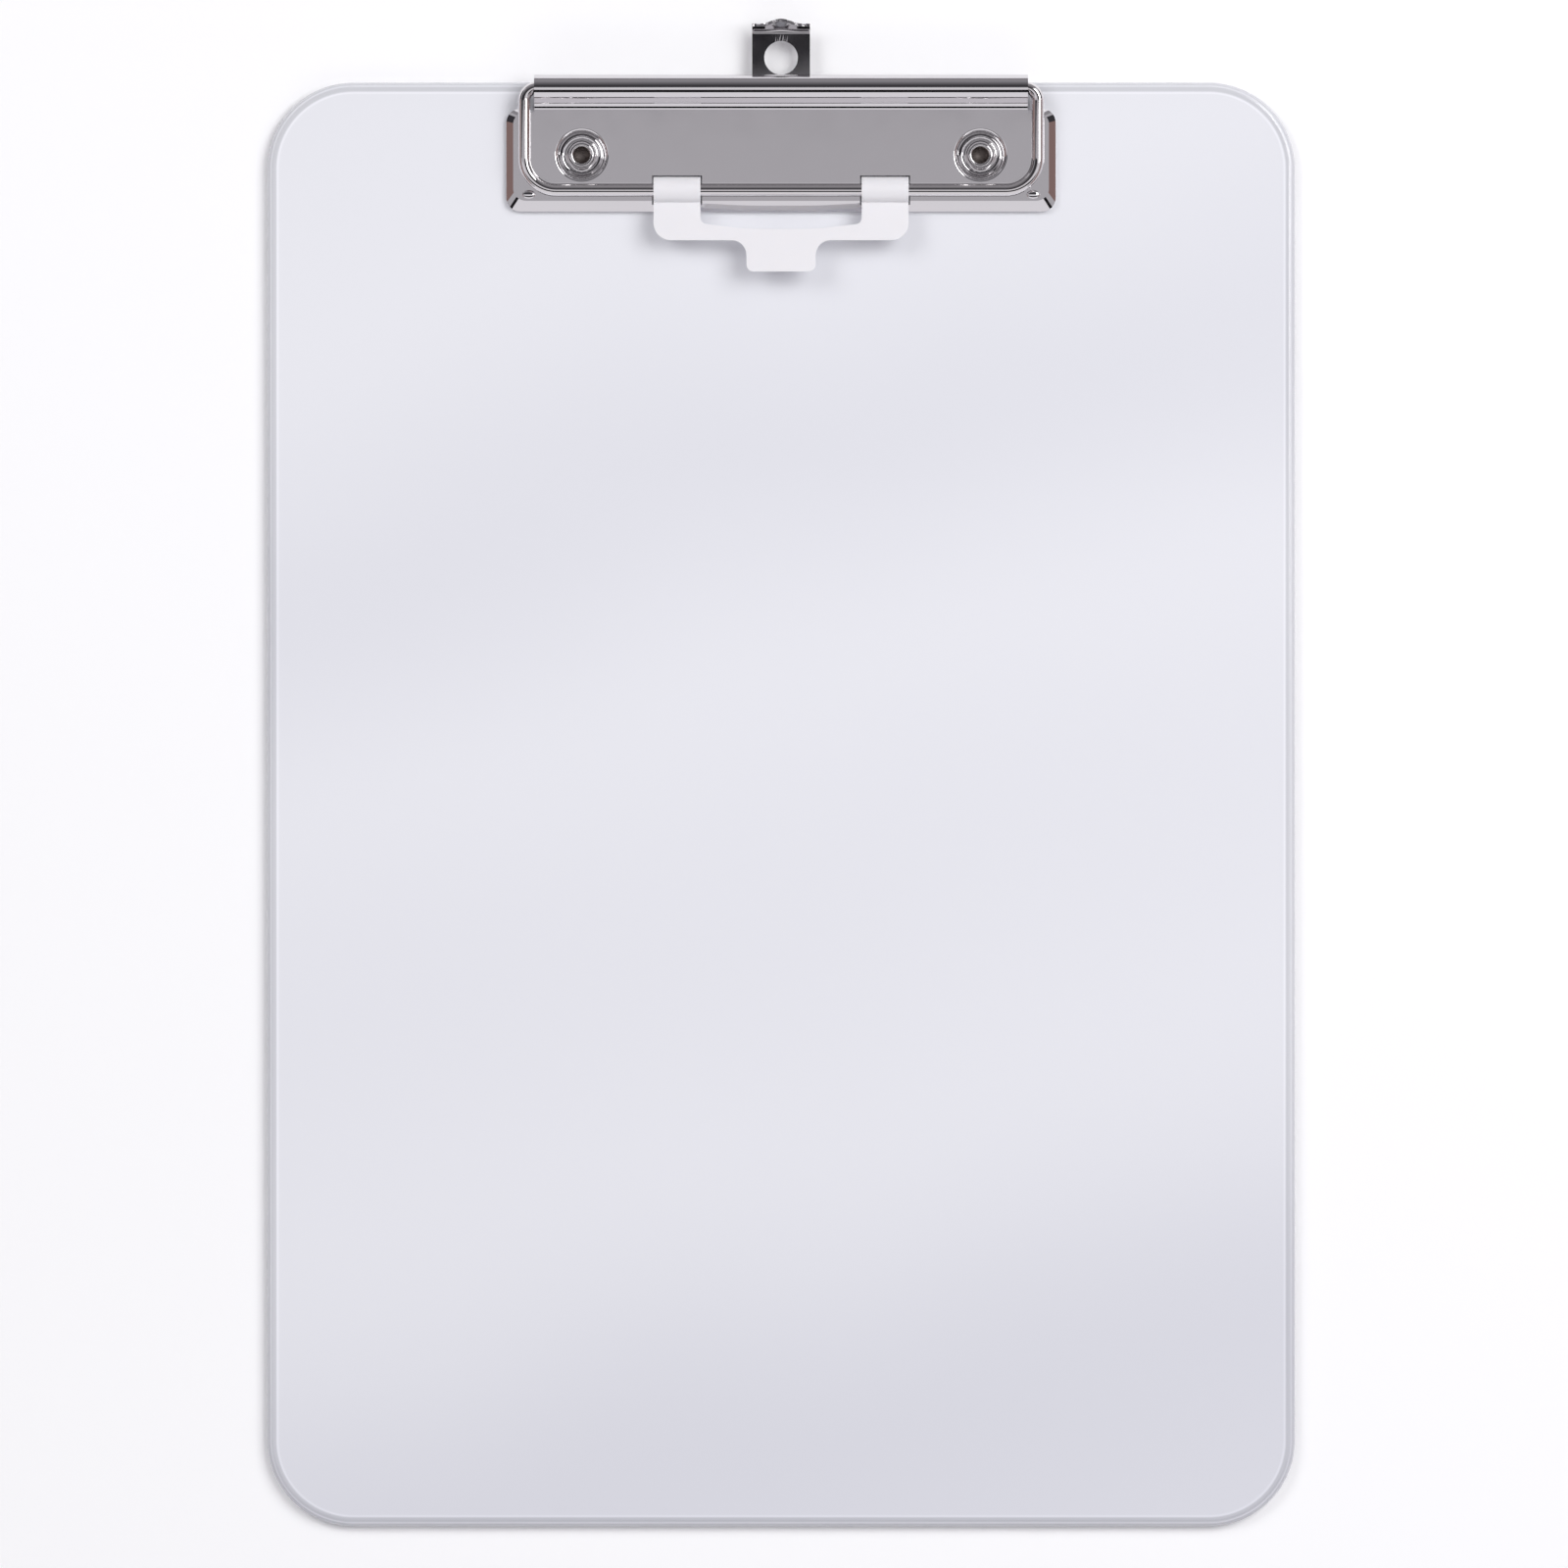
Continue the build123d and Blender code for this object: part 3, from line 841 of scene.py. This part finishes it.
def hanger_solid(settings):
    middle_z = HANGER_LOW.z + settings.sheet / 2
    tail_front = HANGER_LOW.y
    bend_y = HINGE.y + settings.lip_offset
    lip_angle = 72
    wing_lap = 0.5 * MM
    runs = [(bend_y - tail_front, 0), (settings.lip_bend, lip_angle), (settings.lip_run, 0)]
    bm = bent_strip(settings.half_width, (tail_front, middle_z), 0, runs, settings.sheet)
    columns = 24
    for column in range(1, columns):
        x = settings.half_width * (2 * column / columns - 1)
        geometry = [*bm.verts, *bm.edges, *bm.faces]
        bmesh.ops.bisect_plane(bm, geom=geometry, plane_co=(x, 0, 0), plane_no=ACROSS)
    for vert in bm.verts:
        height = max(0.0, (vert.co.z - HANGER_LOW.z - settings.sheet) / (HANGER_HIGH.z - HANGER_LOW.z))
        near = max(0.0, 1 - abs(vert.co.x) / settings.flute_half)
        if vert.co.y > bend_y - TOUCH:
            crest = math.sin(near * math.pi / 2) ** 2
            vert.co.y += settings.flute_depth * min(1.0, height * 2) * crest
    solid = as_solid(bm)
    wings = []
    for _, side in SIDES:
        inner, outer = sorted((side * (settings.half_width - wing_lap), side * HANGER_HIGH.x))
        wing_rear = tail_front + settings.tail_length
        wings.append(box_shape(
            (inner, tail_front, HANGER_LOW.z), (outer, wing_rear, HANGER_LOW.z + settings.sheet)
        ))
    combine(solid, "UNION", wings)
    centre = (0, HINGE.y + settings.hole_offset)
    hole = round_post(settings.hole, centre, HANGER_LOW.z - MM, HANGER_LOW.z + 2 * MM)
    return combine(solid, "DIFFERENCE", [hole])


def lift_tab_solid(settings):
    half = TAB_HIGH.x
    leg_inner = half - settings.leg
    finger = settings.finger_half
    bore_wall = 0.3 * MM
    rear = ROD.y - settings.bore - bore_wall
    slope_degrees = 9
    # The spun ends are radial; this share gives the slot its full width about midway through a wrap.
    midway_share = 0.68
    bridge_rear = ROD.y - settings.bridge_rear
    bridge_front = ROD.y - settings.bridge_front
    tip = TAB_LOW.y
    # The right half's corners, each with the radius that rounds it.
    right = [
        (finger, tip, 1.6 * MM),
        (finger, bridge_front, 3.3 * MM),
        (half, bridge_front, 3.8 * MM),
        (half, rear, 0),
        (leg_inner, rear, 0),
        (leg_inner, bridge_rear, 1.2 * MM),
        (finger, bridge_rear - 1.2 * MM, 2.0 * MM),
    ]
    bm = bmesh.new()
    loop = [(x, y, r) for x, y, r in right] + [(-x, y, r) for x, y, r in reversed(right)]
    corners = [(bm.verts.new((x, y, 0)), radius) for x, y, radius in loop]
    bm.faces.new([vert for vert, _ in corners])
    for vert, radius in corners:
        if radius:
            bmesh.ops.bevel(
                bm, geom=[vert], offset=radius, offset_type="OFFSET", segments=8, profile=0.5,
                affect="VERTICES", material=-1,
            )
    push_end(bm, bm.faces[:][0], UP * settings.thickness)
    slope = math.tan(math.radians(slope_degrees))
    for vert in bm.verts:
        vert.co.z += HINGE.z - settings.thickness / 2 + (rear - vert.co.y) * slope
    tab = as_solid(bm)
    mouth_half = math.asin(settings.mouth / 2 / settings.bore * midway_share)
    wraps = []
    for _, side in SIDES:
        wrap = bmesh.new()
        radial = Matrix.Rotation(mouth_half - math.pi / 2, 3, "X") @ Vector((0, 1, 0))
        inner, outer = side * leg_inner, side * half
        loop = [
            (inner, settings.bore), (outer, settings.bore), (outer, settings.wrap), (inner, settings.wrap)
        ]
        face = wrap.faces.new([
            wrap.verts.new(Vector((x, ROD.y, ROD.z)) + radial * radius) for x, radius in loop
        ])
        turn_end(wrap, face, ROD, ACROSS, math.tau - 2 * mouth_half)
        wraps.append(wrap)
    return combine(tab, "UNION", wraps)


# ---- operators

class CLIPBOARD_OT_board(bpy.types.Operator):
    """Make the moulded board with its rivet holes"""
    bl_idname = "clipboard.board"
    bl_label = "Board"

    def execute(self, context):
        settings = context.scene.clipboard_board
        material = clear_polystyrene(settings)
        finish_piece(board_solid(settings), "moulded_board", "board_and_clip", "board",
                     material)
        return {"FINISHED"}


class CLIPBOARD_OT_base_plate(bpy.types.Operator):
    """Make the pressed clip plate with its rolled hinge barrel"""
    bl_idname = "clipboard.base_plate"
    bl_label = "Clip plate"

    def execute(self, context):
        settings = context.scene.clipboard_plate
        material = bright_nickel("nickel_plated_pressed_steel", settings.plating, 0.035, 0.006 * MM)
        finish_piece(base_plate_solid(settings), "pressed_clip_plate", "board_and_clip", "base_plate",
                     material, settings.edge_round)
        return {"FINISHED"}


class CLIPBOARD_OT_bail(bpy.types.Operator):
    """Make the wire bail"""
    bl_idname = "clipboard.bail"
    bl_label = "Wire bail"

    def execute(self, context):
        settings = context.scene.clipboard_bail
        material = bright_nickel("nickel_plated_drawn_wire", settings.plating, 0.03, 0.004 * MM)
        finish_piece(bail_solid(settings), "wire_bail", "bail", "clamp_wire", material)
        return {"FINISHED"}


class CLIPBOARD_OT_springs(bpy.types.Operator):
    """Finish the two blade springs"""
    bl_idname = "clipboard.springs"
    bl_label = "Blade springs"

    def execute(self, context):
        material = tempered_strip(context.scene.clipboard_springs)
        for name, _ in SIDES:
            for slot in frame["nodes"]["leaf_spring_" + name].material_slots:
                slot.material = material
        return {"FINISHED"}


class CLIPBOARD_OT_rivets(bpy.types.Operator):
    """Make the two tubular rivets"""
    bl_idname = "clipboard.rivets"
    bl_label = "Rivets"

    def execute(self, context):
        settings = context.scene.clipboard_rivets
        material = rivet_nickel(settings)
        for name, side in SIDES:
            finish_piece(rivet_solid(settings, side), "tubular_rivet_" + name, "board_and_clip",
                         "rivet_" + name, material)
        return {"FINISHED"}


class CLIPBOARD_OT_hanger(bpy.types.Operator):
    """Make the hanging tab"""
    bl_idname = "clipboard.hanger"
    bl_label = "Hanging tab"

    def execute(self, context):
        settings = context.scene.clipboard_hanger
        material = bright_nickel("thin_nickel_plated_strip", settings.plating, 0.05)
        finish_piece(hanger_solid(settings), "fluted_hanging_tab", "hanger", "hanging_tab",
                     material, 0.12 * MM)
        return {"FINISHED"}


class CLIPBOARD_OT_lift_tab(bpy.types.Operator):
    """Make the moulded lift tab"""
    bl_idname = "clipboard.lift_tab"
    bl_label = "Lift tab"

    def execute(self, context):
        settings = context.scene.clipboard_lift_tab
        finish_piece(lift_tab_solid(settings), "moulded_lift_tab", "tab", "lift_tab",
                     white_polypropylene(settings), settings.edge_round)
        return {"FINISHED"}


def add_floor(settings):
    bm = bmesh.new()
    bmesh.ops.create_grid(bm, x_segments=1, y_segments=1, size=4)
    bmesh.ops.translate(bm, vec=(0, 0, BOARD_LOW.z - FLOOR_GAP), verts=bm.verts)
    floor = as_solid(bm)
    floor.name = "floor"
    floor.data.materials.append(matt_paper(settings.paper))


def add_flag(name, low, high, material):
    """A flat card that only polished surfaces see."""
    bm = box_shape(low, high)
    card = as_solid(bm)
    card.name = name
    card.data.materials.append(material)
    card.visible_camera = False
    card.visible_diffuse = False
    card.visible_transmission = False
    card.visible_shadow = False


def graded_flag(name, near_y, far_y, tones):
    """A flag that goes evenly from tone to tone as it runs away from the clip."""
    material, tree = new_material(name)
    parts = add_node(tree, "ShaderNodeSeparateXYZ", links={"Vector": object_place(tree)})
    share = map_range(tree, parts.outputs["Y"], near_y, far_y, 0, 1)
    ramp = add_node(tree, "ShaderNodeValToRGB", links={"Fac": share})
    set_ramp(ramp, [(place, linear(tone)) for place, tone in tones])
    set_surface(tree, add_node(tree, "ShaderNodeEmission", links={"Color": ramp.outputs["Color"]}))
    return material


def add_flags():
    """Cards overhead and round the table: the plating mirrors them as its dark and light lines."""
    ceiling = 1.5
    rear_near, rear_far = 0.222, 2.4
    front_white, front_black, front_far = 0.10, -0.40, -1.25
    end_y = -2.3
    black = flag_cloth("black_flag", linear("1A181B"))
    shade = flag_cloth("shade_flag", linear("3C3A3E"))
    grey = flag_cloth("grey_flag", linear("939195"))
    warm = flag_cloth("warm_flag", linear("8C7470"))
    pale = flag_cloth("pale_card", linear("E4E2E6"))
    bright = flag_cloth("bright_card", linear("EDEBEF"))
    tones = ((0.0, "232226"), (0.2, "474649"), (0.5, "727074"), (1.0, "939195"))
    graded = graded_flag("graded_flag", rear_near, rear_far, tones)
    thick = 10 * MM
    table = 0.05
    wide, narrow = 2.0, 1.5
    wall_x, wall_y, wall_top = 1.4, 1.2, 0.7
    add_flag("rear_flag", (-wide, rear_near, ceiling), (wide, rear_far, ceiling + thick), graded)
    add_flag("rear_wall", (-wide, rear_far, table), (wide, rear_far + thick, ceiling), grey)
    add_flag("front_strip", (-narrow, front_black, ceiling), (narrow, front_white, ceiling + thick), pale)
    add_flag("front_flag", (-narrow, front_far, ceiling), (narrow, front_black, ceiling + thick), black)
    add_flag("front_card", (-wide, end_y, ceiling), (wide, front_far, ceiling + thick), bright)
    add_flag("front_wall", (-wide, end_y - thick, table), (wide, end_y, ceiling), bright)
    for side, split in ((-1, 0.30), (1, 0.38)):
        low_x, high_x = sorted((side * wall_x, side * (wall_x + thick)))
        add_flag("side_wall", (low_x, -wall_y, table), (high_x, split, wall_top), warm)
        add_flag("side_wall_rear", (low_x, split, table), (high_x, wall_y, wall_top), shade)


def add_soft_light(name, place, size_x, size_y, watts, mirrored=False):
    """An area light aimed at the board. The plating sees it only if mirrored; cards stand for the
    others."""
    light = bpy.data.lights.new(name, "AREA")
    light.shape = "RECTANGLE"
    light.size = size_x
    light.size_y = size_y
    light.energy = watts
    lamp = bpy.data.objects.new(name, light)
    lamp.location = place
    lamp.visible_glossy = mirrored
    lamp.rotation_euler = (-Vector(place)).to_track_quat("-Z", "Y").to_euler()
    bpy.context.scene.collection.objects.link(lamp)


def add_world():
    """Dim air for soft shadows, an even grey for the plating to mirror, and a pale backdrop."""
    world = bpy.data.worlds.new("studio")
    world.use_nodes = True
    tree = world.node_tree
    tree.nodes.clear()
    path = add_node(tree, "ShaderNodeLightPath")
    seen = add_node(tree, "ShaderNodeBackground", {"Color": linear("A6A4A8"), "Strength": 1.0})
    for ray, tone in (("Is Glossy Ray", "B9B7BB"), ("Is Camera Ray", "F4F4F5")):
        tinted = add_node(tree, "ShaderNodeBackground", {"Color": linear(tone), "Strength": 1.0})
        seen = add_node(tree, "ShaderNodeMixShader", links={
            0: path.outputs[ray], 1: seen.outputs[0], 2: tinted.outputs[0],
        })
    add_node(tree, "ShaderNodeOutputWorld", links={"Surface": seen.outputs[0]})
    bpy.context.scene.world = world


def add_camera(settings):
    data = bpy.data.cameras.new("overhead_camera")
    data.sensor_width = 36
    data.lens = data.sensor_width * settings.camera_height / settings.view_width
    camera = bpy.data.objects.new("overhead_camera", data)
    camera.location = (settings.view_x, settings.view_y, settings.camera_height)
    bpy.context.scene.collection.objects.link(camera)
    bpy.context.scene.camera = camera


class CLIPBOARD_OT_stage(bpy.types.Operator):
    """Set up the floor, flags, lights and camera"""
    bl_idname = "clipboard.stage"
    bl_label = "Stage"

    def execute(self, context):
        settings = context.scene.clipboard_stage
        context.scene.view_settings.view_transform = "Standard"
        add_world()
        add_floor(settings)
        add_flags()
        add_soft_light("key_light", (0.95, 0.57, 1.42), 1.1, 1.1, 19, mirrored=True)
        add_soft_light("front_light", (0, -1.7, 1.1), 3.2, 1.0, 7)
        add_soft_light("fill_light", (-1.2, 0.9, 1.5), 0.9, 0.9, 11)
        add_camera(settings)
        return {"FINISHED"}


class CLIPBOARD_PT_panel(bpy.types.Panel):
    """Lists the clipboard's pieces with their sizes and colours"""
    bl_idname = "CLIPBOARD_PT_panel"
    bl_label = "Clipboard"
    bl_space_type = "VIEW_3D"
    bl_region_type = "UI"
    bl_category = "Clipboard"

    def draw(self, context):
        for name, group, operator in STEPS:
            box = self.layout.box()
            box.operator(operator.bl_idname)
            for setting in group.__annotations__:
                box.prop(getattr(context.scene, name), setting)


STEPS = (
    ("clipboard_board", BoardSettings, CLIPBOARD_OT_board),
    ("clipboard_plate", PlateSettings, CLIPBOARD_OT_base_plate),
    ("clipboard_bail", BailSettings, CLIPBOARD_OT_bail),
    ("clipboard_springs", SpringSettings, CLIPBOARD_OT_springs),
    ("clipboard_rivets", RivetSettings, CLIPBOARD_OT_rivets),
    ("clipboard_hanger", HangerSettings, CLIPBOARD_OT_hanger),
    ("clipboard_lift_tab", LiftTabSettings, CLIPBOARD_OT_lift_tab),
    ("clipboard_stage", StageSettings, CLIPBOARD_OT_stage),
)


def register():
    for name, group, operator in STEPS:
        bpy.utils.register_class(group)
        bpy.utils.register_class(operator)
        setattr(bpy.types.Scene, name, PointerProperty(type=group))
    bpy.utils.register_class(CLIPBOARD_PT_panel)


def unregister():
    bpy.utils.unregister_class(CLIPBOARD_PT_panel)
    for name, group, operator in reversed(STEPS):
        delattr(bpy.types.Scene, name)
        bpy.utils.unregister_class(operator)
        bpy.utils.unregister_class(group)


def main():
    register()
    bpy.ops.clipboard.board()
    bpy.ops.clipboard.base_plate()
    bpy.ops.clipboard.bail()
    bpy.ops.clipboard.springs()
    bpy.ops.clipboard.rivets()
    bpy.ops.clipboard.hanger()
    bpy.ops.clipboard.lift_tab()
    bpy.ops.clipboard.stage()


if __name__ == "__main__":
    main()
